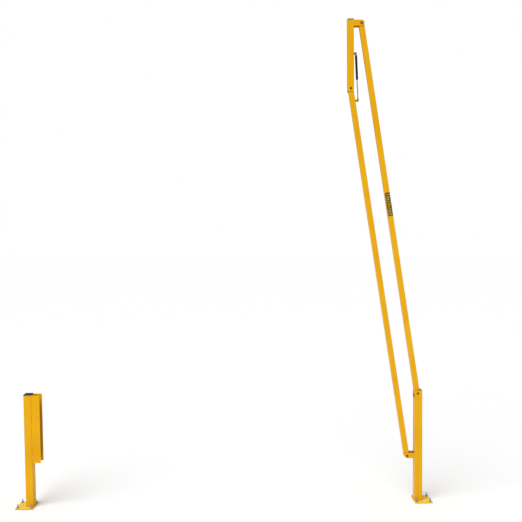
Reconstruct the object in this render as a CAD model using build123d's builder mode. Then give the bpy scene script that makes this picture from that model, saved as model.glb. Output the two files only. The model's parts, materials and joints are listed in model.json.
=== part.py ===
from build123d import *

import os
from math import cos, radians, sin

# Lift-up safety barrier, shown raised. Millimetres, +Z up, floor at z = 0.
# The origin is on the floor under the hinge post's axis. The opening lies towards -X, and the
# front, with the bolt heads and the strut, faces -Y. Two parallel rails turn on the hinge post
# and carry an upright at their far ends, which drops into the receiver channel.

# Posts, floor plates and anchors
POST_WIDTH = 75
POST_WALL = 4
POST_CORNER = 6
LEAST_INNER_CORNER = 1
POST_TOP = 1100
PLATE_SIZE = 170
PLATE_THICKNESS = 10
PLATE_CORNER = 5
PLATE_SHIFT = 42
EDGE_CHAMFER = 1
ANCHOR_SPACING = 130
ANCHOR_RADIUS = 6
ANCHOR_THREAD_RADIUS = 5.43
ANCHOR_TOP = 45
ANCHOR_BOTTOM = -65
ANCHOR_CONE_LENGTH = 10
ANCHOR_NECK_RADIUS = 4.25
ANCHOR_NECK_LENGTH = 19
ANCHOR_HOLE_RADIUS = 7
CLIP_THICKNESS = 1.15
CLIP_PLAY = 0.1
CLIP_END_GAP = 1
WASHER_RADIUS = 12
WASHER_THICKNESS = 2.5
ANCHOR_WASHER_PLAY = 0.5
NUT_ACROSS_FLATS = 19
NUT_HEIGHT = 10.8
CAP_RIM = 8
CAP_CROWN = 2
CAP_CROWN_TAPER = 60
CAP_SKIRT = 22
CAP_SKIRT_WALL = 2.5
CAP_SLACK = 0.4
CAP_SKIRT_CORNER = 3
CAP_HOLLOW_CORNER = 2

# Hinge head and lower lugs
HEAD_BOTTOM = 1022
HEAD_WALL = 5
HEAD_SILL = 1030
LUG_THICKNESS = 8
LUG_RADIUS = 25

# Rails and their four pivots
UPPER_PIVOT = (-8, 0, 1072)
LOWER_PIVOT = (-112, 0, 457)
REST_LEAN = 8.58
RAIL_LENGTH = 3600
RAIL_WIDTH = 50
RAIL_WALL = 3
RAIL_CORNER = 4
PIVOT_RADIUS = 6
PIVOT_HOLE_RADIUS = 6.05
BUSH_RADIUS = 10
EAR_GAP = 54
HEAD_ACROSS_FLATS = 18
HEAD_HEIGHT = 7.5
HEAD_CHAMFER = 0.8
BOLT_TAIL = 16
LOCK_NUT_HEIGHT = 8
LOCK_NUT_COLLAR = 4
LOCK_NUT_STEP = 1
RUNNING_GAP = 0.05

# Upright at the rails' free ends
STILE_WIDTH = 60
STILE_WALL = 3
STILE_CORNER = 5
STILE_OVERHANG = 30
STILE_MOUTH = 28
EAR_THICKNESS = 4
EAR_RADIUS = 27.5
HEAD_WASHER_RADIUS = 14
HEAD_WASHER_THICKNESS = 1.5
LOW_HEAD_RADIUS = 10
LOW_HEAD_HEIGHT = 4.5
LOW_HEAD_CHAMFER = 1.5

# Receiver channel
CHANNEL_INSIDE = 74
CHANNEL_WALL = 4
CHANNEL_DEPTH = 80
CHANNEL_BOTTOM = 440
CHANNEL_CLEARANCE = 8

# Gas strut
STRUT_Y = -16
TAB_THICKNESS = 6
TAB_RADIUS = 12
BALL_RADIUS = 5
BALL_CLEARANCE = 0.1
BALL_NECK_RADIUS = 2.8
STUD_FLANGE_Y = -6.5
STUD_NUT_HEIGHT = 6.5
STUD_TAIL = 8
STUD_RADIUS = 4
STUD_ACROSS_FLATS = 13
SOCKET_RADIUS = 8
SOCKET_NECK_RADIUS = 6.5
SOCKET_NECK_START = 7
SOCKET_REACH = 22
SOCKET_CUP_Y = (-7, 3.5)
SOCKET_THREAD = 10
SOCKET_CHAMFER = 1.5
CYLINDER_RADIUS = 11
CYLINDER_BORE = 9.5
CYLINDER_LENGTH = 230
CYLINDER_FILLET = 2
ROD_RADIUS = 5
GLAND_LENGTH = 14
END_PLUG_LENGTH = 12
PISTON_LENGTH = 14
PISTON_GAP = 8
ROD_PEENED_END = 2
OPEN_PIVOT_GAP = 0.2
STRUT_TOP_FROM_PIVOT = (50, 333)
STRUT_FOOT_ALONG = 120
STRUT_FOOT_OFFSET = 51

# Marker plate on the upper rail
MARKER_LENGTH = 238
MARKER_WIDTH = 46
MARKER_THICKNESS = 1
MARKER_CORNER = 3
MARKER_PLACE = 0.5165

# Points of the linkage, in the plane of the gate
along = Vector(-sin(radians(REST_LEAN)), 0, cos(radians(REST_LEAN)))
across = Vector(cos(radians(REST_LEAN)), 0, sin(radians(REST_LEAN)))
upper_pivot = Vector(*UPPER_PIVOT)
lower_pivot = Vector(*LOWER_PIVOT)
upper_end = upper_pivot + along * RAIL_LENGTH
lower_end = lower_pivot + along * RAIL_LENGTH
stile_x = lower_end.X
stile_bottom = lower_end.Z - STILE_OVERHANG
stile_top = upper_end.Z + STILE_OVERHANG
stile_face = stile_x + STILE_WIDTH / 2

# The channel's web stands clear of the upright's outer face when the rails are level
web_x = lower_pivot.X - RAIL_LENGTH - STILE_WIDTH / 2 - CHANNEL_CLEARANCE - CHANNEL_WALL
receiver_x = web_x - POST_WIDTH / 2

strut_top = lower_end + Vector(STRUT_TOP_FROM_PIVOT[0], STRUT_Y, STRUT_TOP_FROM_PIVOT[1])
strut_foot = lower_end - along * STRUT_FOOT_ALONG + across * STRUT_FOOT_OFFSET + Vector(0, STRUT_Y, 0)
strut_length = (strut_foot - strut_top).length
strut_down = (strut_foot - strut_top).normalized()
cylinder_end = SOCKET_REACH + CYLINDER_LENGTH


def anchor_spots(centre_x):
    """The four anchor places of a floor plate."""
    half = ANCHOR_SPACING / 2
    return [(centre_x + i * half, j * half) for i in (-1, 1) for j in (-1, 1)]


def save(part, name):
    """Label a finished piece and write it to its own file."""
    part.label = name
    export_step(part, f"parts/{name}.step")


def upright(centre_x, bottom, top, width, wall, corner):
    """Add a square tube that stands between two heights."""
    inside = width - 2 * wall
    inner_corner = max(corner - wall, LEAST_INNER_CORNER)
    with BuildSketch(Plane(origin=(centre_x, 0, bottom))) as ring:
        RectangleRounded(width, width, corner)
        RectangleRounded(inside, inside, inner_corner, mode=Mode.SUBTRACT)
    extrude(ring.sketch, amount=top - bottom)


def round_piece(point, radius, start, end, mode=Mode.ADD):
    """Add or cut a cylinder that lies along Y, from y = start to y = end."""
    with BuildSketch(Plane.XZ.offset(-end)) as disc:
        with Locations((point.X, point.Z)):
            Circle(radius)
    extrude(disc.sketch, amount=end - start, mode=mode)


def hex_piece(point, across_flats, start, end):
    """Add a hexagonal prism that lies along Y."""
    with BuildSketch(Plane.XZ.offset(-end)) as hexagon:
        with Locations((point.X, point.Z)):
            RegularPolygon(across_flats / 2, 6, major_radius=False)
    extrude(hexagon.sketch, amount=end - start)


def upright_pieces(spots, radius, bottom, top, mode=Mode.ADD):
    """Add or cut a cylinder along Z on each spot."""
    base = (Align.CENTER, Align.CENTER, Align.MIN)
    with Locations(*[(x, y, bottom) for x, y in spots]):
        Cylinder(radius, top - bottom, align=base, mode=mode)


def ear(wall_x, point, radius, start, end, hole_radius):
    """Add a plate in the X-Z plane, from a wall to a round end about point."""
    with BuildSketch(Plane.XZ.offset(-end)) as outline:
        with Locations(((wall_x + point.X) / 2, point.Z)):
            Rectangle(abs(point.X - wall_x), 2 * radius)
        with Locations((point.X, point.Z)):
            Circle(radius)
            Circle(hole_radius, mode=Mode.SUBTRACT)
    extrude(outline.sketch, amount=end - start)


def both_sides(inner, outer):
    """The two y spans of a pair of pieces, one in front and one behind."""
    return [(-outer, -inner), (inner, outer)]


def along_strut(radius, start, end, mode=Mode.ADD):
    """Add or cut a cylinder on the strut's axis, at distances from its upper ball."""
    with BuildSketch(Plane(origin=strut_top + strut_down * start, z_dir=strut_down)) as disc:
        Circle(radius)
    extrude(disc.sketch, amount=end - start, mode=mode)


def floor_plate(name, centre_x):
    """A floor plate with four anchor holes."""
    with BuildPart() as plate:
        with BuildSketch(Plane(origin=(centre_x, 0, 0))):
            RectangleRounded(PLATE_SIZE, PLATE_SIZE, PLATE_CORNER)
        extrude(amount=PLATE_THICKNESS)
        upright_pieces(anchor_spots(centre_x), ANCHOR_HOLE_RADIUS, 0, PLATE_THICKNESS, Mode.SUBTRACT)
        chamfer(plate.faces().sort_by(Axis.Z)[-1].outer_wire().edges(), EDGE_CHAMFER)
    save(plate.part, name)


def anchors(side, centre_x):
    """The studs, clips, washers and nuts of one floor plate, each kind in a node of its own."""
    spots = anchor_spots(centre_x)
    cone_top = ANCHOR_BOTTOM + ANCHOR_CONE_LENGTH
    neck_top = cone_top + ANCHOR_NECK_LENGTH
    washer_top = PLATE_THICKNESS + WASHER_THICKNESS
    base = (Align.CENTER, Align.CENTER, Align.MIN)

    # The shank fills its hole in the floor. Above the floor is the thread, at its pitch radius.
    with BuildPart() as studs:
        upright_pieces(spots, ANCHOR_THREAD_RADIUS, 0, ANCHOR_TOP)
        chamfer(studs.faces().filter_by(Axis.Z).group_by(Axis.Z)[-1].edges(), EDGE_CHAMFER)
        upright_pieces(spots, ANCHOR_RADIUS, neck_top, 0)
        upright_pieces(spots, ANCHOR_NECK_RADIUS, cone_top, neck_top)
        with Locations(*[(x, y, ANCHOR_BOTTOM) for x, y in spots]):
            Cone(ANCHOR_RADIUS, ANCHOR_NECK_RADIUS, ANCHOR_CONE_LENGTH, align=base)
    save(studs.part, f"{side}_anchor_studs")

    clip_bore = ANCHOR_NECK_RADIUS + CLIP_PLAY
    clip_bottom = cone_top + CLIP_END_GAP
    clip_top = neck_top - CLIP_END_GAP
    with BuildPart() as clips:
        upright_pieces(spots, clip_bore + CLIP_THICKNESS, clip_bottom, clip_top)
        upright_pieces(spots, clip_bore, clip_bottom, clip_top, Mode.SUBTRACT)
    save(clips.part, f"{side}_anchor_clips")

    washer_bore = ANCHOR_RADIUS + ANCHOR_WASHER_PLAY
    with BuildPart() as washers:
        upright_pieces(spots, WASHER_RADIUS, PLATE_THICKNESS, washer_top)
        upright_pieces(spots, washer_bore, PLATE_THICKNESS, washer_top, Mode.SUBTRACT)
    save(washers.part, f"{side}_anchor_washers")

    with BuildPart() as nuts:
        with BuildSketch(Plane.XY.offset(washer_top)):
            with Locations(*spots):
                RegularPolygon(NUT_ACROSS_FLATS / 2, 6, major_radius=False)
                Circle(ANCHOR_THREAD_RADIUS, mode=Mode.SUBTRACT)
        extrude(amount=NUT_HEIGHT)
    save(nuts.part, f"{side}_anchor_nuts")


def cap(name, centre_x, bottom, width, wall, corner):
    """A plastic cap: a low crowned lid with a hollow plug that fits inside the tube."""
    plug = width - 2 * wall - CAP_SLACK
    hollow = plug - 2 * CAP_SKIRT_WALL
    with BuildPart() as lid:
        with BuildSketch(Plane(origin=(centre_x, 0, bottom))):
            RectangleRounded(width, width, corner)
        extrude(amount=CAP_RIM)
        with BuildSketch(Plane(origin=(centre_x, 0, bottom + CAP_RIM))) as crown:
            RectangleRounded(width, width, corner)
        extrude(crown.sketch, amount=CAP_CROWN, taper=CAP_CROWN_TAPER)
        with BuildSketch(Plane(origin=(centre_x, 0, bottom))) as skirt:
            RectangleRounded(plug, plug, CAP_SKIRT_CORNER)
            RectangleRounded(hollow, hollow, CAP_HOLLOW_CORNER, mode=Mode.SUBTRACT)
        extrude(skirt.sketch, amount=-CAP_SKIRT)
    save(lid.part, name)


def rail_side(pivot, height=0):
    """Plane along a rail: x runs to the far end, and z points at the front."""
    return Plane(origin=pivot, x_dir=along, z_dir=(0, -1, 0)).offset(height)


def rail(name, pivot):
    """A square tube with closed round ends and a hole for a bush at each pivot."""
    with BuildPart() as tube:
        with BuildSketch(rail_side(pivot)) as outline:
            with Locations((RAIL_LENGTH / 2, 0)):
                SlotCenterToCenter(RAIL_LENGTH, RAIL_WIDTH)
        extrude(amount=RAIL_WIDTH / 2, both=True)
        faces = tube.faces().filter_by(Axis.Y).sort_by(Axis.Y)
        fillet(faces[0].edges() + faces[-1].edges(), RAIL_CORNER)
        with BuildSketch(rail_side(pivot)) as hollow:
            with Locations((RAIL_LENGTH / 2, 0)):
                SlotCenterToCenter(RAIL_LENGTH, RAIL_WIDTH - 2 * RAIL_WALL)
        extrude(amount=RAIL_WIDTH / 2 - RAIL_WALL, both=True, mode=Mode.SUBTRACT)
        for point in (pivot, pivot + along * RAIL_LENGTH):
            round_piece(point, BUSH_RADIUS, -RAIL_WIDTH / 2, RAIL_WIDTH / 2, Mode.SUBTRACT)
    save(tube.part, f"{name}_tube")

    with BuildPart() as bushes:
        for point in (pivot, pivot + along * RAIL_LENGTH):
            round_piece(point, BUSH_RADIUS, -RAIL_WIDTH / 2, RAIL_WIDTH / 2)
            round_piece(point, PIVOT_HOLE_RADIUS, -RAIL_WIDTH / 2, RAIL_WIDTH / 2, Mode.SUBTRACT)
    save(bushes.part, f"{name}_bushes")


def pivot_rings(name, point, radius, outer):
    """A pair of rings that fill the gap between a rail and the walls beside it."""
    with BuildPart() as rings:
        for start, end in both_sides(RAIL_WIDTH / 2 + RUNNING_GAP, outer):
            round_piece(point, radius, start, end)
            round_piece(point, PIVOT_HOLE_RADIUS, start, end, Mode.SUBTRACT)
    save(rings.part, name)


def pivot_bolt(name, point, face):
    """A hexagon-headed bolt along Y, with its head on the front face."""
    with BuildPart() as bolt:
        hex_piece(point, HEAD_ACROSS_FLATS, -face - HEAD_HEIGHT, -face)
        chamfer(bolt.faces().sort_by(Axis.Y)[0].edges(), HEAD_CHAMFER)
        round_piece(point, PIVOT_RADIUS, -face, face + BOLT_TAIL)
        chamfer(bolt.faces().sort_by(Axis.Y)[-1].edges(), EDGE_CHAMFER)
    save(bolt.part, name)


def lock_nut(name, point, face):
    """A locking nut and its washer behind the back face, as two solids."""
    seat = face + WASHER_THICKNESS
    crown = seat + LOCK_NUT_HEIGHT
    end = crown + LOCK_NUT_COLLAR
    with BuildPart() as nut:
        round_piece(point, WASHER_RADIUS, face, seat - RUNNING_GAP)
        hex_piece(point, HEAD_ACROSS_FLATS, seat, crown)
        round_piece(point, HEAD_ACROSS_FLATS / 2 - LOCK_NUT_STEP, crown, end)
        round_piece(point, PIVOT_RADIUS, face, end, Mode.SUBTRACT)
    save(nut.part, name)


def ball_stud(name, point, flange_end, shank_end):
    """A ball on a neck with a hexagonal flange, and a shank behind it if shank_end is further."""
    with BuildPart() as stud:
        with Locations(point):
            Sphere(BALL_RADIUS)
        round_piece(point, BALL_NECK_RADIUS, STRUT_Y, STUD_FLANGE_Y)
        hex_piece(point, STUD_ACROSS_FLATS, STUD_FLANGE_Y, flange_end)
        if shank_end > flange_end:
            round_piece(point, STUD_RADIUS, flange_end, shank_end)
    save(stud.part, name)


def stud_nut(name, point):
    """The nut on a ball stud's shank, behind its tab."""
    seat = TAB_THICKNESS / 2
    with BuildPart() as nut:
        hex_piece(point, STUD_ACROSS_FLATS, seat, seat + STUD_NUT_HEIGHT)
        round_piece(point, STUD_RADIUS, seat, seat + STUD_NUT_HEIGHT, Mode.SUBTRACT)
    save(nut.part, name)


def ball_socket(name, point, neck_start, neck_end, bore_start, bore_end):
    """A cup that holds a ball, with a neck along the strut and a bore in the neck."""
    start, end = SOCKET_CUP_Y
    with BuildPart() as socket:
        round_piece(point, SOCKET_RADIUS, STRUT_Y + start, STRUT_Y + end)
        chamfer(socket.faces().sort_by(Axis.Y)[0].edges(), SOCKET_CHAMFER)
        along_strut(SOCKET_NECK_RADIUS, neck_start, neck_end)
        along_strut(STUD_RADIUS, bore_start, bore_end, Mode.SUBTRACT)
        with Locations(point):
            Sphere(BALL_RADIUS + BALL_CLEARANCE, mode=Mode.SUBTRACT)
    save(socket.part, name)


def hinge_side():
    """The fixed pieces that the rails turn on."""
    half = POST_WIDTH / 2

    with BuildPart() as post:
        upright(0, PLATE_THICKNESS, HEAD_BOTTOM, POST_WIDTH, POST_WALL, POST_CORNER)
    save(post.part, "hinge_post")

    with BuildPart() as head:
        upright(0, HEAD_BOTTOM, POST_TOP, POST_WIDTH, HEAD_WALL, POST_CORNER)
        with BuildSketch(Plane.YZ.offset(-half)) as window:
            with Locations((0, (HEAD_SILL + POST_TOP) / 2)):
                Rectangle(POST_WIDTH - 2 * HEAD_WALL, POST_TOP - HEAD_SILL)
        extrude(window.sketch, amount=HEAD_WALL, mode=Mode.SUBTRACT)
        round_piece(upper_pivot, PIVOT_HOLE_RADIUS, -half, half, Mode.SUBTRACT)
    save(head.part, "hinge_head")

    with BuildPart() as lugs:
        for start, end in both_sides(EAR_GAP / 2, EAR_GAP / 2 + LUG_THICKNESS):
            ear(-half, lower_pivot, LUG_RADIUS, start, end, PIVOT_HOLE_RADIUS)
    save(lugs.part, "lower_hinge_lugs")

    pivot_rings("upper_hinge_spacers", upper_pivot, WASHER_RADIUS, half - HEAD_WALL)
    pivot_rings("lower_hinge_washers", lower_pivot, WASHER_RADIUS, EAR_GAP / 2)
    pivot_bolt("upper_hinge_bolt", upper_pivot, half)
    pivot_bolt("lower_hinge_bolt", lower_pivot, EAR_GAP / 2 + LUG_THICKNESS)
    lock_nut("upper_hinge_nut", upper_pivot, half)
    lock_nut("lower_hinge_nut", lower_pivot, EAR_GAP / 2 + LUG_THICKNESS)


def receiver_side():
    """The post and channel that the upright drops into."""
    with BuildPart() as post:
        upright(receiver_x, PLATE_THICKNESS, POST_TOP, POST_WIDTH, POST_WALL, POST_CORNER)
    save(post.part, "receiver_post")

    cap("receiver_cap", receiver_x, POST_TOP, POST_WIDTH, POST_WALL, POST_CORNER)

    outside = CHANNEL_INSIDE + 2 * CHANNEL_WALL
    with BuildPart() as channel:
        with BuildSketch(Plane(origin=(web_x, 0, CHANNEL_BOTTOM))) as outline:
            with Locations((CHANNEL_DEPTH / 2, 0)):
                Rectangle(CHANNEL_DEPTH, outside)
            fillet(outline.vertices().group_by(Axis.X)[0], CHANNEL_WALL)
            with Locations((CHANNEL_WALL + CHANNEL_DEPTH / 2, 0)):
                Rectangle(CHANNEL_DEPTH, CHANNEL_INSIDE, mode=Mode.SUBTRACT)
        extrude(amount=POST_TOP - CHANNEL_BOTTOM)
    save(channel.part, "receiver_channel")


def stile():
    """The upright between the rails' free ends, with its ears and pivots."""
    with BuildPart() as tube:
        upright(stile_x, stile_bottom, stile_top, STILE_WIDTH, STILE_WALL, STILE_CORNER)
        mouth_top = lower_end.Z + STILE_MOUTH
        # The mouth is cut as deep as the tube's corners, so that its sides are flush with the walls
        with BuildSketch(Plane.YZ.offset(stile_face - STILE_CORNER)) as mouth:
            with Locations((0, (stile_bottom + mouth_top) / 2)):
                Rectangle(STILE_WIDTH - 2 * STILE_WALL, mouth_top - stile_bottom)
        extrude(mouth.sketch, amount=STILE_CORNER, mode=Mode.SUBTRACT)
        round_piece(lower_end, PIVOT_HOLE_RADIUS, -STILE_WIDTH / 2, STILE_WIDTH / 2, Mode.SUBTRACT)
    save(tube.part, "end_stile")

    cap("stile_cap", stile_x, stile_top, STILE_WIDTH, STILE_WALL, STILE_CORNER)

    with BuildPart() as ears:
        for start, end in both_sides(EAR_GAP / 2, EAR_GAP / 2 + EAR_THICKNESS):
            ear(stile_face, upper_end, EAR_RADIUS, start, end, PIVOT_HOLE_RADIUS)
    save(ears.part, "stile_ears")

    pivot_rings("stile_upper_washers", upper_end, WASHER_RADIUS, EAR_GAP / 2)
    pivot_rings("stile_lower_washers", lower_end, WASHER_RADIUS, EAR_GAP / 2)

    ear_face = EAR_GAP / 2 + EAR_THICKNESS
    head_face = ear_face + HEAD_WASHER_THICKNESS
    with BuildPart() as washer:
        round_piece(upper_end, HEAD_WASHER_RADIUS, -head_face, -ear_face)
        round_piece(upper_end, PIVOT_HOLE_RADIUS, -head_face, -ear_face, Mode.SUBTRACT)
    save(washer.part, "stile_upper_head_washer")
    pivot_bolt("stile_upper_bolt", upper_end, head_face)
    lock_nut("stile_upper_nut", upper_end, ear_face)

    half = STILE_WIDTH / 2
    with BuildPart() as pin:
        round_piece(lower_end, LOW_HEAD_RADIUS, -half - LOW_HEAD_HEIGHT, -half)
        chamfer(pin.faces().sort_by(Axis.Y)[0].edges(), LOW_HEAD_CHAMFER)
        round_piece(lower_end, PIVOT_RADIUS, -half, half + LOW_HEAD_HEIGHT)
    save(pin.part, "stile_lower_pin")

    with BuildPart() as ring:
        round_piece(lower_end, LOW_HEAD_RADIUS, half, half + LOW_HEAD_HEIGHT)
        chamfer(ring.faces().sort_by(Axis.Y)[-1].edges(), LOW_HEAD_CHAMFER)
        round_piece(lower_end, PIVOT_RADIUS, half, half + LOW_HEAD_HEIGHT, Mode.SUBTRACT)
    save(ring.part, "stile_lower_pin_nut")


def strut_tabs():
    """The two plates that carry the strut's ball studs, and the studs' fixed pieces."""
    half = TAB_THICKNESS / 2

    with BuildPart() as upper_tab:
        ear(stile_face, strut_top, TAB_RADIUS, -half, half, STUD_RADIUS)
    save(upper_tab.part, "strut_upper_tab")

    with BuildPart() as lower_tab:
        with BuildSketch(rail_side(lower_end, -half)) as outline:
            reach = STRUT_FOOT_OFFSET - RAIL_WIDTH / 2
            with Locations((-STRUT_FOOT_ALONG, -RAIL_WIDTH / 2 - reach / 2)):
                Rectangle(2 * TAB_RADIUS, reach)
            with Locations((-STRUT_FOOT_ALONG, -STRUT_FOOT_OFFSET)):
                Circle(TAB_RADIUS)
                Circle(STUD_RADIUS, mode=Mode.SUBTRACT)
        extrude(amount=TAB_THICKNESS)
    save(lower_tab.part, "strut_lower_tab")

    ball_stud("strut_upper_ball_stud", strut_top, -half, half + STUD_TAIL)
    stud_nut("strut_upper_stud_nut", strut_top)

    with BuildPart() as shank:
        round_piece(strut_foot, STUD_RADIUS, -half, half + STUD_TAIL)
    save(shank.part, "strut_lower_stud_shank")
    stud_nut("strut_lower_stud_nut", strut_foot)


def strut():
    """The gas strut, extended, from its upper socket to its lower ball."""
    foot = strut_length - SOCKET_REACH
    thread_start = SOCKET_REACH - SOCKET_THREAD
    thread_end = foot + SOCKET_THREAD

    with BuildPart() as tube:
        along_strut(CYLINDER_RADIUS, SOCKET_REACH, cylinder_end)
        fillet(tube.edges(), CYLINDER_FILLET)
        along_strut(CYLINDER_BORE, SOCKET_REACH, cylinder_end, Mode.SUBTRACT)
    save(tube.part, "strut_cylinder_tube")

    with BuildPart() as plug:
        along_strut(CYLINDER_BORE, SOCKET_REACH, SOCKET_REACH + END_PLUG_LENGTH)
        along_strut(STUD_RADIUS, thread_start, SOCKET_REACH)
    save(plug.part, "strut_end_plug")

    with BuildPart() as gland:
        along_strut(CYLINDER_BORE, cylinder_end - GLAND_LENGTH, cylinder_end)
        along_strut(ROD_RADIUS + RUNNING_GAP, cylinder_end - GLAND_LENGTH, cylinder_end, Mode.SUBTRACT)
    save(gland.part, "strut_gland")

    piston_end = cylinder_end - GLAND_LENGTH - PISTON_GAP
    piston_start = piston_end - PISTON_LENGTH
    with BuildPart() as piston:
        along_strut(CYLINDER_BORE - RUNNING_GAP, piston_start, piston_end)
        along_strut(STUD_RADIUS, piston_start, piston_end, Mode.SUBTRACT)
    save(piston.part, "strut_piston")

    with BuildPart() as bar:
        along_strut(STUD_RADIUS, piston_start - ROD_PEENED_END, piston_end)
        along_strut(ROD_RADIUS, piston_end, foot)
        along_strut(STUD_RADIUS, foot, thread_end)
    save(bar.part, "strut_rod_bar")

    neck_start = SOCKET_NECK_START
    neck_end = strut_length - SOCKET_NECK_START
    ball_socket("strut_upper_socket", strut_top, neck_start, SOCKET_REACH, thread_start, SOCKET_REACH)
    ball_socket("strut_lower_socket", strut_foot, foot, neck_end, foot, thread_end)

    # Its shank is a piece of its own in the tab, because this pivot is left open
    flange_end = -TAB_THICKNESS / 2 - OPEN_PIVOT_GAP
    ball_stud("strut_lower_ball_stud", strut_foot, flange_end, flange_end)


def marker_plate():
    """A thin marker plate on the upper rail's front face."""
    with BuildPart() as plate:
        with BuildSketch(rail_side(upper_pivot, RAIL_WIDTH / 2)):
            with Locations((RAIL_LENGTH * MARKER_PLACE, 0)):
                RectangleRounded(MARKER_LENGTH, MARKER_WIDTH, MARKER_CORNER)
        extrude(amount=MARKER_THICKNESS)
    save(plate.part, "marker_plate")


os.makedirs("parts", exist_ok=True)
floor_plate("hinge_base_plate", PLATE_SHIFT)
anchors("hinge", PLATE_SHIFT)
hinge_side()
floor_plate("receiver_base_plate", receiver_x - PLATE_SHIFT)
anchors("receiver", receiver_x - PLATE_SHIFT)
receiver_side()
rail("upper_rail", upper_pivot)
rail("lower_rail", lower_pivot)
marker_plate()
stile()
strut_tabs()
strut()
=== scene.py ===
import json
from math import ceil, cos, pi, radians, sin, tan

import bpy
from mathutils import Euler, Matrix, Vector


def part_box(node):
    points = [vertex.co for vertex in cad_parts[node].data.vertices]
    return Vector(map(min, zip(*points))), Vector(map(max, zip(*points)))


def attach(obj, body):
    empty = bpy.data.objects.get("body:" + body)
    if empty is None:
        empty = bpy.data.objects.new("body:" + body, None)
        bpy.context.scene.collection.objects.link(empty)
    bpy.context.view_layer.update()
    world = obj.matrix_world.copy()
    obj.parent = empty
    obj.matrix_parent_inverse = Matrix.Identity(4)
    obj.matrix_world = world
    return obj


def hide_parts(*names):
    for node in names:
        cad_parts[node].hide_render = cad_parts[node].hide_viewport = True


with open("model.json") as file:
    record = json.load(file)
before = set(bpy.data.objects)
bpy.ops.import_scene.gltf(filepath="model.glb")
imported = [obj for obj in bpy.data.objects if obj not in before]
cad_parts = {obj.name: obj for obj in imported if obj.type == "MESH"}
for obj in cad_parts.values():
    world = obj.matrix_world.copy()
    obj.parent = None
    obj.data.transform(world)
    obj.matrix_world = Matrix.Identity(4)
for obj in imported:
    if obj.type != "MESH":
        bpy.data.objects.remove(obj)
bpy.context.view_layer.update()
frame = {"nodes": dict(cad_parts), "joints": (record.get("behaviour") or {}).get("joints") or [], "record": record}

# The looks of a lift-up safety barrier, in metres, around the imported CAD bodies.

# Camera, with its turns in degrees, and its lens and sensor in millimetres
CAMERA_PLACE = (-1.612, -5.948, 2.631)
CAMERA_YAW = -0.867
CAMERA_PITCH_DOWN = 2.456
CAMERA_ROLL = 0.545
CAMERA_LENS = 42.47
CAMERA_SENSOR = 36
CAMERA_REACH = 200

# Stage, with the key light's spread in degrees
FLOOR_REACH = 60.0
DOME_STRENGTH = 0.48
BACKDROP_STRENGTH = 1.0
KEY_FROM = (-0.38, -0.5, 0.78)
KEY_STRENGTH = 2.3
KEY_SPREAD = 50

# Linear colours
PAINT_BASE = (0.78, 0.4, 0.0012)
PAINT_DEEP = (0.71, 0.34, 0.0008)
PAINT_PALE = (0.82, 0.445, 0.004)
# Painted highlight for the paint's edges and the marker's ends, and also the colour of real scuffs
PAINT_HIGHLIGHT_AND_SCUFF = (0.93, 0.56, 0.045)
# Painted shade for seams, corners and the dips between weld ripples
PAINT_SEAM_SHADE = (0.36, 0.14, 0.002)
# Painted shade, nearly black, for the insides of tubes and channels
PAINT_HOLLOW_SHADE = (0.06, 0.022, 0.001)
# Painted highlight for level faces near the floor
PAINT_TOP_HIGHLIGHT = (0.95, 0.74, 0.12)
WELD_FLECK = (0.52, 0.23, 0.01)
GRIME = (0.16, 0.095, 0.03)
PRIMER = (0.17, 0.165, 0.155)
PLASTIC_DUST = (0.32, 0.30, 0.27)
STRUT_BLACK = (0.006, 0.006, 0.007)
STRUT_BLACK_PALE = (0.014, 0.014, 0.015)
STRUT_SCRATCH = (0.06, 0.06, 0.06)
CHROME = (0.50, 0.51, 0.52)
CHROME_OILED = (0.36, 0.37, 0.37)
MARKER_OLIVE = (0.36, 0.24, 0.03)
MARKER_OLIVE_PALE = (0.52, 0.36, 0.06)
MARKER_BROWN = (0.055, 0.03, 0.001)
MARKER_BROWN_PALE = (0.2, 0.12, 0.008)
FLOOR_WHITE = (0.96, 0.96, 0.96)
FLOOR_WHITE_PALE = (0.975, 0.975, 0.972)

# The marker's row of cells, counted so that its middle is the middle of cell 9
MARKER_CELL = 0.0236
MARKER_MIDDLE_COUNT = 9.5

# M12 fasteners
SHANK = 0.006
THREAD_PITCH = 0.00175
ANCHOR_NUT_FLATS = 0.019
BOLT_FLATS = 0.018
BOLT_HEAD = 0.0075

# Welds
WELD_RIPPLE = 0.003
FOOT_BEAD = 0.0042
POST_BEAD = 0.003
EAR_BEAD = 0.0024
TAB_BEAD = 0.0022

JOINTS = {joint["name"]: joint for joint in frame["joints"]}


# ---------------------------------------------------------------- materials

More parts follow.
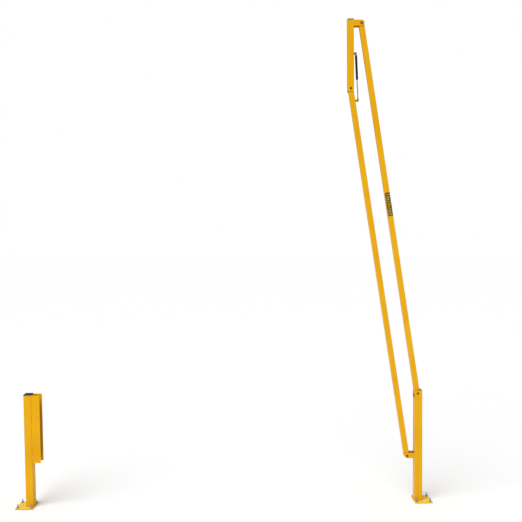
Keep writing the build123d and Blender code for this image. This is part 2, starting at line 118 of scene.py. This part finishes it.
class Look:
    """A material being built, with short names for the nodes that the finishes share."""

    def __init__(self, name):
        self.material = bpy.data.materials.new(name)
        self.material.use_nodes = True
        self.tree = self.material.node_tree
        self.surface = self.tree.nodes["Principled BSDF"]
        self.place = self.add("ShaderNodeTexCoord").outputs["Object"]

    def add(self, kind, **settings):
        """A new node with its own settings."""
        node = self.tree.nodes.new(kind)
        for key, value in settings.items():
            setattr(node, key, value)
        return node

    def put(self, socket, value):
        """Link a node's output, or set a plain value."""
        if isinstance(value, bpy.types.NodeSocket):
            self.tree.links.new(value, socket)
        else:
            socket.default_value = value

    def set(self, **values):
        """Inputs of the surface's own shader, with _ for each space in their names."""
        for key, value in values.items():
            self.put(self.surface.inputs[key.replace("_", " ")], value)

    def stretched(self, scale):
        """Object coordinates with a scale for each axis."""
        node = self.add("ShaderNodeVectorMath", operation="MULTIPLY")
        self.put(node.inputs[0], self.place)
        self.put(node.inputs[1], scale)
        return node.outputs["Vector"]

    def noise(self, scale, detail, roughness=0.55, vector=None):
        node = self.add("ShaderNodeTexNoise")
        self.put(node.inputs["Vector"], vector or self.place)
        self.put(node.inputs["Scale"], scale)
        self.put(node.inputs["Detail"], detail)
        self.put(node.inputs["Roughness"], roughness)
        return node.outputs["Fac"]

    def cells(self, scale):
        """Distance from the middle of the nearest random cell."""
        node = self.add("ShaderNodeTexVoronoi", feature="F1")
        self.put(node.inputs["Vector"], self.place)
        self.put(node.inputs["Scale"], scale)
        return node.outputs["Distance"]

    def spread(self, value, low, high, start=0.0, end=1.0):
        """Map low..high to start..end, held at both ends."""
        node = self.add("ShaderNodeMapRange")
        for socket, item in zip(node.inputs, (value, low, high, start, end)):
            self.put(socket, item)
        return node.outputs["Result"]

    def between(self, low, high, scale, detail):
        """A value that wanders between low and high over the surface."""
        return self.spread(self.noise(scale, detail), 0.3, 0.7, low, high)

    def maths(self, operation, first, second=0.0):
        node = self.add("ShaderNodeMath", operation=operation)
        self.put(node.inputs[0], first)
        self.put(node.inputs[1], second)
        return node.outputs["Value"]

    def plus(self, first, second):
        return self.maths("ADD", first, second)

    def minus(self, first, second):
        return self.maths("SUBTRACT", first, second)

    def times(self, first, second):
        return self.maths("MULTIPLY", first, second)

    def mix(self, share, first, second):
        """The first colour, with a share of the second over it."""
        node = self.add("ShaderNodeMix", data_type="RGBA")
        self.put(node.inputs["Factor"], share)
        for name, colour in (("A", first), ("B", second)):
            socket = [s for s in node.inputs if s.name == name and s.type == "RGBA"][0]
            self.put(socket, (*colour, 1.0) if isinstance(colour, tuple) else colour)
        return [s for s in node.outputs if s.type == "RGBA"][0]

    def height(self):
        """Height above the floor at rest, in metres."""
        node = self.add("ShaderNodeSeparateXYZ")
        self.put(node.inputs["Vector"], self.place)
        return node.outputs["Z"]

    def upward(self):
        """0 on upright and hanging faces, rising to 1 on level ones."""
        node = self.add("ShaderNodeSeparateXYZ")
        self.put(node.inputs["Vector"], self.add("ShaderNodeNewGeometry").outputs["Normal"])
        return self.spread(node.outputs["Z"], 0.5, 0.95)

    def along(self, direction):
        """Distance along a direction, in metres."""
        node = self.add("ShaderNodeVectorMath", operation="DOT_PRODUCT")
        self.put(node.inputs[0], self.place)
        self.put(node.inputs[1], direction)
        return node.outputs["Value"]

    def edges(self, radius):
        """0 on flat faces, rising to 1 on outer and inner edges."""
        round_normal = self.add("ShaderNodeBevel", samples=4)
        self.put(round_normal.inputs["Radius"], radius)
        flat_normal = self.add("ShaderNodeNewGeometry")
        node = self.add("ShaderNodeVectorMath", operation="DOT_PRODUCT")
        self.put(node.inputs[0], round_normal.outputs["Normal"])
        self.put(node.inputs[1], flat_normal.outputs["Normal"])
        return self.spread(node.outputs["Value"], 0.995, 0.88)

    def crevices(self, reach, start=0.75, end=0.2):
        """0 in the open, rising to 1 in corners and seams."""
        node = self.add("ShaderNodeAmbientOcclusion", samples=6)
        self.put(node.inputs["Distance"], reach)
        return self.spread(node.outputs["AO"], start, end)

    def bump(self, height, distance, strength, before=None):
        """A normal bent by a height, on top of the bump before it."""
        node = self.add("ShaderNodeBump")
        self.put(node.inputs["Height"], height)
        self.put(node.inputs["Distance"], distance)
        self.put(node.inputs["Strength"], strength)
        if before:
            self.put(node.inputs["Normal"], before)
        return node.outputs["Normal"]


def coat_colour(look):
    """The paint's faint clouds, upright streaks and flecks, with painted shade in its seams and hollows."""
    clouds = look.spread(look.noise(2.3, 4), 0.35, 0.68)
    colour = look.mix(clouds, PAINT_DEEP, PAINT_BASE)
    streaks = look.noise(1.0, 4, vector=look.stretched((55, 55, 2.5)))
    colour = look.mix(look.spread(streaks, 0.5, 0.72, 0, 0.6), colour, PAINT_PALE)
    flecks = look.spread(look.noise(650, 2), 0.56, 0.72, 0, 0.4)
    colour = look.mix(flecks, colour, PAINT_DEEP)
    # Painted shade in corners and seams, from ambient occlusion, broken into patches
    patches = look.spread(look.noise(70, 4), 0.3, 0.6, 0.35, 0.8)
    seams = look.times(look.crevices(0.014), patches)
    colour = look.mix(seams, colour, PAINT_SEAM_SHADE)
    # Painted shade, nearly black, deep inside tubes and channels
    hollows = look.times(look.crevices(0.2, 0.38, 0.1), 0.92)
    return look.mix(hollows, colour, PAINT_HOLLOW_SHADE)


def edge_lit_and_worn(look, colour):
    """The coat with a painted highlight along its edges, scuffs and chips down to the primer, and where its chips
    are.
    """
    edge = look.edges(0.0016)
    # Painted highlight: a pale band along the edges
    colour = look.mix(look.times(edge, 0.5), colour, PAINT_HIGHLIGHT_AND_SCUFF)
    scuffs = look.noise(1.0, 3, 0.6, look.stretched((25, 25, 260)))
    colour = look.mix(look.spread(scuffs, 0.72, 0.76, 0, 0.35), colour, PAINT_HIGHLIGHT_AND_SCUFF)
    chipping = look.spread(look.noise(130, 5, 0.7), 0.6, 0.63)
    chips = look.times(look.spread(edge, 0.25, 0.6), chipping)
    return look.mix(chips, colour, PRIMER), chips


def top_lit_and_dirtied(look, colour):
    """The coat with a painted highlight on level faces near the floor and grime splashed on near the floor, and
    where the grime is.
    """
    near_floor = look.spread(look.height(), 0.05, 0.012)
    # Painted highlight: level faces near the floor made paler, as if lit from above
    lit_level_faces = look.times(look.upward(), near_floor)
    dust_and_sheen = look.times(lit_level_faces, look.spread(look.noise(24, 4), 0.3, 0.65, 0.45, 0.7))
    colour = look.mix(dust_and_sheen, colour, PAINT_TOP_HIGHLIGHT)
    splash = look.spread(look.height(), 0.16, 0.0)
    dirt = look.times(splash, look.spread(look.noise(38, 5, 0.65), 0.5, 0.75, 0, 0.15))
    return look.mix(dirt, colour, GRIME), dirt


def paint_material():
    """Yellow powder coat with orange peel, rougher where it is dirty or chipped."""
    look = Look("yellow_powder_coat")
    colour, chips = edge_lit_and_worn(look, coat_colour(look))
    colour, dirt = top_lit_and_dirtied(look, colour)
    peel = look.bump(look.noise(300, 2, 0.4), 0.0004, 0.5)
    waves = look.bump(look.noise(26, 2), 0.001, 0.35, peel)
    chip_dents = look.bump(look.minus(1.0, chips), 0.0003, 0.6, waves)
    rough = look.plus(look.between(0.24, 0.38, 9, 4), look.times(look.plus(dirt, chips), 0.35))
    look.set(Base_Color=colour, Roughness=rough, Normal=chip_dents)
    look.set(Metallic=0.0, Specular_IOR_Level=0.14)
    return look.material


def weld_material():
    """Painted weld metal: mottled, with painted shade between its ripples, and grimy near the floor."""
    look = Look("painted_weld")
    colour = look.mix(look.spread(look.noise(90, 4), 0.4, 0.7), PAINT_BASE, PAINT_DEEP)
    colour = look.mix(look.spread(look.noise(420, 3), 0.55, 0.7, 0, 0.4), colour, WELD_FLECK)
    # Painted shade between the ripples, from ambient occlusion
    colour = look.mix(look.times(look.crevices(0.004), 0.8), colour, PAINT_SEAM_SHADE)
    near_floor = look.spread(look.height(), 0.05, 0.0)
    splash = look.times(near_floor, look.spread(look.noise(60, 4), 0.4, 0.7, 0, 0.5))
    colour = look.mix(splash, colour, GRIME)
    grain = look.bump(look.noise(800, 3), 0.0003, 0.5)
    look.set(Base_Color=colour, Roughness=look.between(0.3, 0.5, 150, 3), Normal=grain)
    return look.material


def metal_material(name, colour, tint, roughness, grain, metallic=1.0):
    """Plated or bare steel with cloudy plating, dark spots, fine pits and edges that shine."""
    look = Look(name)
    dark = tuple(part * 0.45 for part in colour)
    bright = tuple(min(1.0, part * 1.7 + 0.05) for part in colour)
    base = look.mix(look.spread(look.noise(95, 4), 0.35, 0.7), colour, tint)
    spots = look.spread(look.noise(900, 3, 0.6), 0.62, 0.75, 0, 0.5)
    base = look.mix(spots, base, dark)
    base = look.mix(look.times(look.edges(0.0005), 0.6), base, bright)
    pits = look.bump(look.noise(grain, 3, 0.6), 0.00012, 0.5)
    rough = look.between(*roughness, 260, 4)
    look.set(Base_Color=base, Roughness=rough, Metallic=metallic, Normal=pits)
    return look.material


def plastic_material(name, colour, pale, grain):
    """Moulded plastic with a spark-eroded grain, rubbed paler on its edges, and a little dusty."""
    look = Look(name)
    rubbed = tuple(min(1.0, part * 1.6 + 0.02) for part in pale)
    base = look.mix(look.spread(look.noise(30, 4), 0.4, 0.7), colour, pale)
    base = look.mix(look.times(look.edges(0.0012), 0.5), base, rubbed)
    dust_and_sheen = look.spread(look.noise(140, 5, 0.7), 0.56, 0.72, 0, 0.16)
    base = look.mix(dust_and_sheen, base, PLASTIC_DUST)
    texture = look.bump(look.cells(grain), 0.00025, 0.5)
    look.set(Base_Color=base, Roughness=look.between(0.42, 0.6, 60, 3), Normal=texture)
    look.set(Specular_IOR_Level=0.25)
    return look.material


def cylinder_material():
    """Glossy black strut paint with a faint orange peel and fine scratches along the tube."""
    look = Look("strut_black_paint")
    base = look.mix(look.spread(look.noise(40, 4), 0.4, 0.7), STRUT_BLACK, STRUT_BLACK_PALE)
    scratches = look.noise(1.0, 3, 0.6, look.stretched((700, 700, 12)))
    base = look.mix(look.spread(scratches, 0.69, 0.73, 0, 0.2), base, STRUT_SCRATCH)
    peel = look.bump(look.noise(260, 2, 0.4), 0.0001, 0.25)
    look.set(Base_Color=base, Roughness=look.between(0.2, 0.34, 120, 3), Normal=peel)
    look.set(Specular_IOR_Level=0.3, Coat_Weight=0.08, Coat_Roughness=0.12)
    return look.material


def chrome_material():
    """Hard-chromed rod with fine turning marks round it and a thin oil film."""
    look = Look("chromed_rod")
    rings = look.noise(1.0, 2, 0.5, look.stretched((30, 30, 5200)))
    film = look.spread(look.noise(55, 4), 0.45, 0.7)
    base = look.mix(film, CHROME, CHROME_OILED)
    look.set(Base_Color=base, Metallic=1.0, Normal=look.bump(rings, 0.00003, 0.5))
    look.set(Roughness=look.between(0.1, 0.24, 85, 3))
    return look.material


def marker_patches(look, run, over):
    """1 on a row of patches across the marker, one to a cell, of uneven widths and heights."""
    count = look.plus(look.times(run, 1 / MARKER_CELL), MARKER_MIDDLE_COUNT)
    cell = look.maths("FLOOR", count)
    first = look.maths("FRACT", look.times(cell, 0.618))
    second = look.maths("FRACT", look.times(cell, 0.377))
    off_middle = look.maths("ABSOLUTE", look.minus(look.maths("FRACT", count), 0.5))
    half_height = look.spread(first, 0, 1, 0.16, 0.3)
    half_width = look.spread(second, 0, 1, 0.009, 0.0185)
    shifted = look.plus(over, look.spread(first, 0, 1, -0.003, 0.003))
    past_side = look.minus(look.maths("ABSOLUTE", shifted), half_width)
    past_end = look.minus(off_middle, half_height)
    patches = look.times(look.spread(past_side, 0.0006, 0.0), look.spread(past_end, 0.03, 0.0))
    in_row = look.spread(look.maths("ABSOLUTE", run), 0.1125, 0.1115)
    return look.times(patches, in_row)


def marker_material(middle, along, across):
    """A dark hazard marker with uneven olive patches across it and a painted highlight, a pale strip, at each end.
    """
    look = Look("hazard_marker")
    run = look.minus(look.along(along), middle.dot(along))
    over = look.minus(look.along(across), middle.dot(across))
    patches = marker_patches(look, run, over)
    olive_clouds = look.spread(look.noise(70, 4), 0.35, 0.7)
    olive = look.mix(olive_clouds, MARKER_OLIVE, MARKER_OLIVE_PALE)
    brown_clouds = look.spread(look.noise(48, 3), 0.4, 0.65)
    brown = look.mix(brown_clouds, MARKER_BROWN, MARKER_BROWN_PALE)
    colour = look.mix(patches, brown, olive)
    # Painted highlight: a pale strip across each end of the marker
    end_highlights = look.spread(look.maths("ABSOLUTE", run), 0.1155, 0.116)
    colour = look.mix(end_highlights, colour, PAINT_HIGHLIGHT_AND_SCUFF)
    rubbed = look.spread(look.noise(210, 5, 0.7), 0.66, 0.7, 0, 0.5)
    colour = look.mix(rubbed, colour, PAINT_PALE)
    film = look.bump(patches, 0.00008, 0.5, look.bump(look.noise(500, 2), 0.0001, 0.3))
    look.set(Base_Color=colour, Roughness=look.between(0.3, 0.45, 60, 3), Normal=film)
    look.set(Specular_IOR_Level=0.25)
    return look.material


def floor_material():
    """A matt, nearly white floor."""
    look = Look("pale_floor")
    colour = look.mix(look.noise(1.5, 3), FLOOR_WHITE, FLOOR_WHITE_PALE)
    look.set(Base_Color=colour, Roughness=0.85, Specular_IOR_Level=0.1)
    return look.material


def finishes(along, across):
    """One material for each slot in the record, and yellow_zinc, which some zinc pieces have."""
    return {
        "yellow_paint": paint_material(),
        "black_plastic": plastic_material(
            "moulded_black_cap", (0.016, 0.016, 0.017), (0.03, 0.03, 0.031), 900),
        "nylon": plastic_material(
            "natural_nylon", (0.60, 0.58, 0.50), (0.70, 0.68, 0.60), 1400),
        "zinc": metal_material(
            "zinc_plate", (0.33, 0.345, 0.31), (0.44, 0.44, 0.37), (0.32, 0.5), 1500),
        "yellow_zinc": metal_material(
            "yellow_chromate_zinc", (0.34, 0.24, 0.09), (0.47, 0.35, 0.15), (0.28, 0.45), 1500),
        "dark_fastener": metal_material(
            "black_oxide", (0.065, 0.043, 0.025), (0.11, 0.07, 0.034), (0.3, 0.48), 1300, 0.8),
        "black_paint": cylinder_material(),
        "chrome": chrome_material(),
        "steel": metal_material(
            "turned_steel", (0.42, 0.42, 0.41), (0.5, 0.49, 0.47), (0.25, 0.4), 1800),
        "marker": marker_material(centre("marker_plate"), along, across),
    }


def dress_nodes(materials):
    """Give every CAD node the material of its slot in the record, and the strut's zinc its chromate."""
    slots = {row["node"]: row["material_slot"] for row in frame["record"]["subparts"]}
    for node, piece in frame["nodes"].items():
        finish = slots[node]
        if finish == "zinc" and node.startswith("strut"):
            finish = "yellow_zinc"
        piece.data.materials.clear()
        piece.data.materials.append(materials[finish])


# ---------------------------------------------------------------- places and meshes

def centre(node):
    low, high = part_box(node)
    return (low + high) / 2


def joint_place(name):
    return Vector(JOINTS[name]["pos_m"])


def facing(place, direction):
    """Matrix that puts a piece's own Z on direction, at place."""
    turn = Vector(direction).to_track_quat("Z", "Y").to_matrix()
    return Matrix.Translation(place) @ turn.to_4x4()


def make_object(name, points, faces, material, sharp=35):
    """A smooth-shaded mesh whose edges over a given angle stay sharp."""
    mesh = bpy.data.meshes.new(name)
    mesh.from_pydata(points, [], faces)
    mesh.validate()
    mesh.shade_smooth()
    mesh.set_sharp_from_angle(angle=radians(sharp))
    mesh.materials.append(material)
    piece = bpy.data.objects.new(name, mesh)
    bpy.context.scene.collection.objects.link(piece)
    return piece


def place_piece(piece, body, slot, *replaced):
    """Fasten a finished piece to its body, and hide the nodes it stands for. Its slot is not used."""
    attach(piece, body)
    if replaced:
        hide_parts(*replaced)


def ring_faces(start, count, sides, closed=False):
    """Faces that join stacked rings of points, with a cap on each end unless the stack is closed."""
    faces = []
    for k in range(count if closed else count - 1):
        low = start + k * sides
        high = start + (k + 1) % count * sides
        for i in range(sides):
            j = (i + 1) % sides
            faces.append((low + i, low + j, high + j, high + i))
    if not closed:
        last = start + (count - 1) * sides
        faces.append(tuple(range(last, last + sides)))
        faces.append(tuple(reversed(range(start, start + sides))))
    return faces


class Turned:
    """Pieces made of stacked rings about an axis, gathered into one mesh."""

    def __init__(self, sides=48):
        self.sides = sides
        self.points = []
        self.faces = []

    def add(self, matrix, rings, bored=False):
        """Stack rings, each a function from an angle to (radius, height). Bored ones close on themselves."""
        start = len(self.points)
        for ring in rings:
            for i in range(self.sides):
                angle = 2 * pi * i / self.sides
                radius, height = ring(angle)
                self.points.append(matrix @ Vector((radius * cos(angle), radius * sin(angle), height)))
        self.faces += ring_faces(start, len(rings), self.sides, bored)

    def build(self, name, material, sharp=35):
        return make_object(name, self.points, self.faces, material, sharp)


def plain_ring(radius, height):
    return lambda angle: (radius, height)


def plain_rings(*outline):
    """Round rings from pairs of radius and height."""
    return [plain_ring(radius, height) for radius, height in outline]


def hexagon_ring(across_flats, height, crown=None, rise=0.0):
    """A hexagon's outline. Outside the crown's radius it drops by 30 degrees, or rises if rise is -1."""
    def ring(angle):
        corner = (angle + pi / 6) % (pi / 3) - pi / 6
        radius = across_flats / 2 / cos(corner)
        drop = max(0.0, radius - crown) * tan(radians(30)) if crown else 0.0
        return radius, height - drop * rise
    return ring


def hexagon_body(across_flats, bottom, top, crown_bottom=False, crown_top=False, bore=None):
    """Rings of a nut or bolt head, with turned chamfers on the ends that ask for them."""
    crown = across_flats / 2 * 0.98
    rings = []
    if crown_bottom:
        rings.append(plain_ring(crown, bottom))
    rings.append(hexagon_ring(across_flats, bottom, crown if crown_bottom else None, -1.0))
    rings.append(hexagon_ring(across_flats, top, crown if crown_top else None, 1.0))
    if crown_top:
        rings.append(plain_ring(crown, top))
    if bore:
        mouth = bore * 1.1
        lead = bore * 0.1
        rings += plain_rings((mouth, top), (bore, top - lead), (bore, bottom + lead), (mouth, bottom))
    return rings


def thread_rings(radius, bottom, top, depth, steps=9):
    """Rings of a helical thread between two heights, which fades out at both."""
    count = ceil((top - bottom) / THREAD_PITCH * steps)
    heights = [bottom + (top - bottom) * i / count for i in range(count + 1)]

    def ring(height):
        fade = min(1.0, (height - bottom) / THREAD_PITCH, (top - height) / THREAD_PITCH)

        def at(angle):
            turn = (height / THREAD_PITCH - angle / (2 * pi)) % 1.0
            return radius - depth * abs(2 * turn - 1) * max(0.0, fade), height
        return at
    return [ring(height) for height in heights]


# ---------------------------------------------------------------- fasteners

def anchor_rings(bottom, top):
    """A wedge anchor: its cone and neck below the floor, its plain shank and its threaded end."""
    neck = 0.00425
    cone_top = bottom + 0.01
    neck_top = bottom + 0.029
    shank_top = -0.004
    thread_bottom = shank_top + 0.0001
    thread_top = top - 0.001
    end = SHANK - 0.0008
    rings = plain_rings((SHANK, bottom), (neck, cone_top), (neck, neck_top))
    rings += plain_rings((SHANK, neck_top), (SHANK, shank_top))
    rings += thread_rings(SHANK, thread_bottom, thread_top, depth=0.0009)
    rings += plain_rings((end, top))
    return rings


def anchor_set(side, zinc):
    """Threaded wedge anchors with chamfered nuts for one floor plate."""
    low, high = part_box(f"{side}_anchor_studs")
    nut_low, nut_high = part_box(f"{side}_anchor_nuts")
    bore = SHANK - 0.0006
    anchors = Turned(sides=40)
    nuts = Turned()
    for x in (low.x + SHANK, high.x - SHANK):
        for y in (low.y + SHANK, high.y - SHANK):
            place = Matrix.Translation((x, y, 0))
            anchors.add(place, anchor_rings(low.z, high.z))
            nuts.add(place, hexagon_body(
                ANCHOR_NUT_FLATS, nut_low.z, nut_high.z, crown_bottom=True, crown_top=True, bore=bore,
            ), bored=True)
    anchor_piece = anchors.build(f"{side}_threaded_anchors", zinc, sharp=50)
    place_piece(anchor_piece, "posts", "zinc", f"{side}_anchor_studs")
    nut_piece = nuts.build(f"{side}_hex_nuts", zinc)
    place_piece(nut_piece, "posts", "zinc", f"{side}_anchor_nuts")


def hex_bolt(prefix, axis, material):
    """A bolt with a dished, turned head, a plain shank and a threaded end."""
    low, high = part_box(f"{prefix}_bolt")
    seat = low.y + BOLT_HEAD
    thread_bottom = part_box(f"{prefix}_nut")[1].y - 0.001
    thread_top = high.y - 0.0004
    dish = BOLT_FLATS * 0.44
    dish_rim = BOLT_FLATS * 0.46
    dish_depth = 0.0003
    end = SHANK - 0.001
    rings = plain_rings((dish, low.y + dish_depth), (dish_rim, low.y))
    rings += hexagon_body(BOLT_FLATS, low.y, seat, crown_bottom=True)
    rings += plain_rings((SHANK, seat))
    rings += thread_rings(SHANK, thread_bottom, thread_top, depth=0.0006, steps=6)
    rings += plain_rings((end, high.y))
    bolt = Turned()
    bolt.add(axis, rings)
    return bolt.build(f"{prefix}_hex_bolt", material)


def washer_rings(bottom, top):
    """A washer with eased rims."""
    rim = 0.012
    ease = 0.0003
    return plain_rings(
        (SHANK, bottom), (rim - ease, bottom), (rim, bottom + ease),
        (rim, top - ease), (rim - ease, top), (SHANK, top),
    )


def lock_nut(prefix, axis, material):
    """A washer and a hexagon nut, whose collar has a recess for its nylon insert."""
    low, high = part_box(f"{prefix}_nut")
    seat = low.y + 0.0025
    washer_top = seat - 0.00005
    hexagon_top = high.y - 0.004
    collar = BOLT_FLATS / 2 - 0.001
    chamfer = 0.001
    recess = SHANK + 0.0011
    recess_floor = high.y - 0.0008
    rings = hexagon_body(BOLT_FLATS, seat, hexagon_top, crown_top=True)
    rings += plain_rings(
        (collar, hexagon_top), (collar, high.y - chamfer), (collar - chamfer, high.y),
        (recess, high.y), (recess, recess_floor), (SHANK, recess_floor), (SHANK, seat),
    )
    nut = Turned()
    nut.add(axis, washer_rings(low.y, washer_top), bored=True)
    nut.add(axis, rings, bored=True)
    return nut.build(f"{prefix}_lock_nut", material)


def nylon_insert(prefix, axis, material):
    """The ring in the lock nut's recess, with a low crown."""
    nut_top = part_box(f"{prefix}_nut")[1].y
    inner, crest, outer = SHANK + 0.00005, SHANK + 0.0005, SHANK + 0.00105
    bottom, rim, top = nut_top - 0.0007, nut_top - 0.0004, nut_top - 0.0002
    insert = Turned()
    insert.add(axis, plain_rings(
        (inner, bottom), (outer, bottom), (outer, rim), (crest, top), (inner, rim),
    ), bored=True)
    return insert.build(f"{prefix}_nylon_insert", material)


def bolt_and_nut(prefix, body, slot, material, nylon):
    """A pivot's bolt, and its locking nut with a nylon insert."""
    middle = centre(f"{prefix}_bolt")
    axis = facing(Vector((middle.x, 0, middle.z)), (0, 1, 0))
    place_piece(hex_bolt(prefix, axis, material), body, slot, f"{prefix}_bolt")
    place_piece(lock_nut(prefix, axis, material), body, slot, f"{prefix}_nut")
    place_piece(nylon_insert(prefix, axis, nylon), body, "nylon")


# ---------------------------------------------------------------- welds

def weld_stations(run):
    """Closely spaced places and directions along the straight lines between a run's points."""
    stations = []
    for start, end in zip(run, run[1:]):
        way = (end - start).normalized()
        count = max(2, round((end - start).length / (WELD_RIPPLE / 4)))
        stations += [(start.lerp(end, i / count), way) for i in range(count + 1)]
    return stations


def bead_swell(travelled, from_end):
    """A bead's thickness as a share of its nominal one: rippled, uneven, and tapered at its ends."""
    taper = min(1.0, 0.25 + from_end * 0.25)
    ripples = 0.9 + 0.16 * abs(sin(pi * travelled / WELD_RIPPLE))
    unevenness = 1 + 0.05 * sin(travelled * 410) + 0.04 * sin(travelled * 173 + 1.3)
    return taper * ripples * unevenness


def bead(name, body, runs, radius, weld):
    """Weld beads, one along each run of corner points."""
    sides = 12
    points = []
    faces = []
    for run in runs:
        stations = weld_stations(run)
        faces += ring_faces(len(points), len(stations), sides)
        travelled = 0.0
        for k, (place, way) in enumerate(stations):
            if k:
                travelled += (place - stations[k - 1][0]).length
            swell = radius * bead_swell(travelled, min(k, len(stations) - 1 - k))
            across = way.orthogonal().normalized()
            other = way.cross(across)
            for i in range(sides):
                angle = 2 * pi * i / sides
                points.append(place + (across * cos(angle) + other * sin(angle)) * swell)
    piece = make_object(name, points, faces, weld, sharp=60)
    place_piece(piece, body, "yellow_paint")


def upright_run(x, y, bottom, top):
    return [Vector((x, y, bottom)), Vector((x, y, top))]


def square_run(low, high, z):
    """Corner points round an upright tube, with its corners cut across."""
    cut = 0.004
    corners = [
        (low.x + cut, low.y), (high.x - cut, low.y), (high.x, low.y + cut), (high.x, high.y - cut),
        (high.x - cut, high.y), (low.x + cut, high.y), (low.x, high.y - cut), (low.x, low.y + cut),
        (low.x + cut, low.y),
    ]
    return [Vector((x, y, z)) for x, y in corners]


def post_foot_weld(side, weld):
    """The bead round a post where it stands on its floor plate."""
    low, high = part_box(f"{side}_post")
    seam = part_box(f"{side}_base_plate")[1].z + 0.001
    bead(f"{side}_post_foot_weld", "posts", [square_run(low, high, seam)], FOOT_BEAD, weld)


def hinge_head_weld(weld):
    """The bead round the foot of the hinge head."""
    low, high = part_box("hinge_head")
    bead("hinge_head_weld", "posts", [square_run(low, high, low.z)], POST_BEAD, weld)


def lower_lug_welds(weld):
    """Beads down each lug's outer side, and across its top and bottom, where it meets the post."""
    low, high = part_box("lower_hinge_lugs")
    end_gap = 0.003
    lug_thickness = 0.008
    runs = []
    for y in (low.y, high.y):
        runs.append(upright_run(high.x, y, low.z + end_gap, high.z - end_gap))
        inner = y - lug_thickness if y > 0 else y + lug_thickness
        for z in (low.z, high.z):
            runs.append([Vector((high.x, y, z)), Vector((high.x, inner, z))])
    bead("lower_hinge_lug_welds", "posts", runs, POST_BEAD, weld)


def channel_welds(weld):
    """Stitches up both sides of the receiver post, where the channel meets it."""
    low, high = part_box("receiver_channel")
    just_outside = 1.03
    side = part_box("receiver_post")[1].y * just_outside
    first, stitch, pitch = 0.03, 0.055, 0.15
    runs = []
    z = low.z + first
    while z + stitch < high.z:
        runs.append(upright_run(low.x, -side, z, z + stitch))
        runs.append(upright_run(low.x, side, z, z + stitch))
        z += pitch
    bead("receiver_channel_welds", "posts", runs, POST_BEAD, weld)


def stile_ear_welds(weld):
    """A bead down each of the stile's ears."""
    low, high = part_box("stile_ears")
    inset = 0.0005
    end_gap = 0.003
    sides = (low.y + inset, high.y - inset)
    runs = [upright_run(low.x, y, low.z + end_gap, high.z - end_gap) for y in sides]
    bead("stile_ear_welds", "stile", runs, EAR_BEAD, weld)


def strut_upper_tab_welds(weld):
    """A bead down each side of the strut's upper tab."""
    low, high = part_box("strut_upper_tab")
    end_gap = 0.002
    runs = [upright_run(low.x, y, low.z + end_gap, high.z - end_gap) for y in (low.y, high.y)]
    bead("strut_upper_tab_welds", "stile", runs, TAB_BEAD, weld)


def strut_lower_tab_welds(weld, along, across):
    """A bead each side of the strut's lower tab, where it meets the leaning rail."""
    rail_half_width = 0.025
    tab_half_thickness = 0.003
    half_length = 0.011
    pivot = joint_place("lower_rail_swing")
    tab = centre("strut_lower_stud_shank")
    run = (Vector((tab.x, 0, tab.z)) - pivot).dot(along)
    foot = pivot + along * run + across * rail_half_width
    runs = []
    for y in (-tab_half_thickness, tab_half_thickness):
        side = foot + Vector((0, y, 0))
        runs.append([side - along * half_length, side + along * half_length])
    bead("strut_lower_tab_welds", "lower_rail", runs, TAB_BEAD, weld)


def welds(along, across):
    """Every seam where one piece is welded to another."""
    weld = weld_material()
    post_foot_weld("hinge", weld)
    post_foot_weld("receiver", weld)
    hinge_head_weld(weld)
    lower_lug_welds(weld)
    channel_welds(weld)
    stile_ear_welds(weld)
    strut_upper_tab_welds(weld)
    strut_lower_tab_welds(weld, along, across)


# ---------------------------------------------------------------- stage

def camera():
    data = bpy.data.cameras.new("camera")
    data.lens = CAMERA_LENS
    data.sensor_width = CAMERA_SENSOR
    data.clip_end = CAMERA_REACH
    item = bpy.data.objects.new("camera", data)
    aim = Euler((radians(90 - CAMERA_PITCH_DOWN), 0, radians(CAMERA_YAW))).to_matrix()
    aim = aim @ Matrix.Rotation(radians(-CAMERA_ROLL), 3, "Z")
    item.matrix_world = Matrix.Translation(CAMERA_PLACE) @ aim.to_4x4()
    bpy.context.scene.collection.objects.link(item)
    bpy.context.scene.camera = item


def floor():
    corners = [(-1, -1), (1, -1), (1, 1), (-1, 1)]
    points = [(x * FLOOR_REACH, y * FLOOR_REACH, 0) for x, y in corners]
    make_object("floor", points, [(0, 1, 2, 3)], floor_material())


def dome():
    """An even white dome, which the camera itself sees as a brighter white."""
    world = bpy.data.worlds.new("studio")
    world.use_nodes = True
    nodes, links = world.node_tree.nodes, world.node_tree.links
    light = nodes["Background"]
    light.inputs["Color"].default_value = (1, 1, 1, 1)
    light.inputs["Strength"].default_value = DOME_STRENGTH
    backdrop = nodes.new("ShaderNodeBackground")
    backdrop.inputs["Color"].default_value = (1, 1, 1, 1)
    backdrop.inputs["Strength"].default_value = BACKDROP_STRENGTH
    seen = nodes.new("ShaderNodeLightPath")
    blend = nodes.new("ShaderNodeMixShader")
    links.new(seen.outputs["Is Camera Ray"], blend.inputs["Fac"])
    links.new(light.outputs["Background"], blend.inputs[1])
    links.new(backdrop.outputs["Background"], blend.inputs[2])
    links.new(blend.outputs["Shader"], nodes["World Output"].inputs["Surface"])
    bpy.context.scene.world = world


def key_light():
    """A broad soft key from the upper left, in front."""
    key = bpy.data.lights.new("key", "SUN")
    key.energy = KEY_STRENGTH
    key.angle = radians(KEY_SPREAD)
    item = bpy.data.objects.new("key", key)
    item.rotation_euler = Vector(KEY_FROM).to_track_quat("Z", "Y").to_euler()
    bpy.context.scene.collection.objects.link(item)


def main():
    camera()
    floor()
    dome()
    key_light()
    bpy.context.scene.view_settings.view_transform = "Standard"

    along = (joint_place("stile_level") - joint_place("gate_lift")).normalized()
    across = Vector((along.z, 0, -along.x))
    materials = finishes(along, across)
    dress_nodes(materials)

    for side in ("hinge", "receiver"):
        anchor_set(side, materials["zinc"])
    for prefix in ("upper_hinge", "lower_hinge"):
        bolt_and_nut(prefix, "posts", "dark_fastener", materials["dark_fastener"], materials["nylon"])
    bolt_and_nut("stile_upper", "stile", "zinc", materials["yellow_zinc"], materials["nylon"])
    welds(along, across)


main()
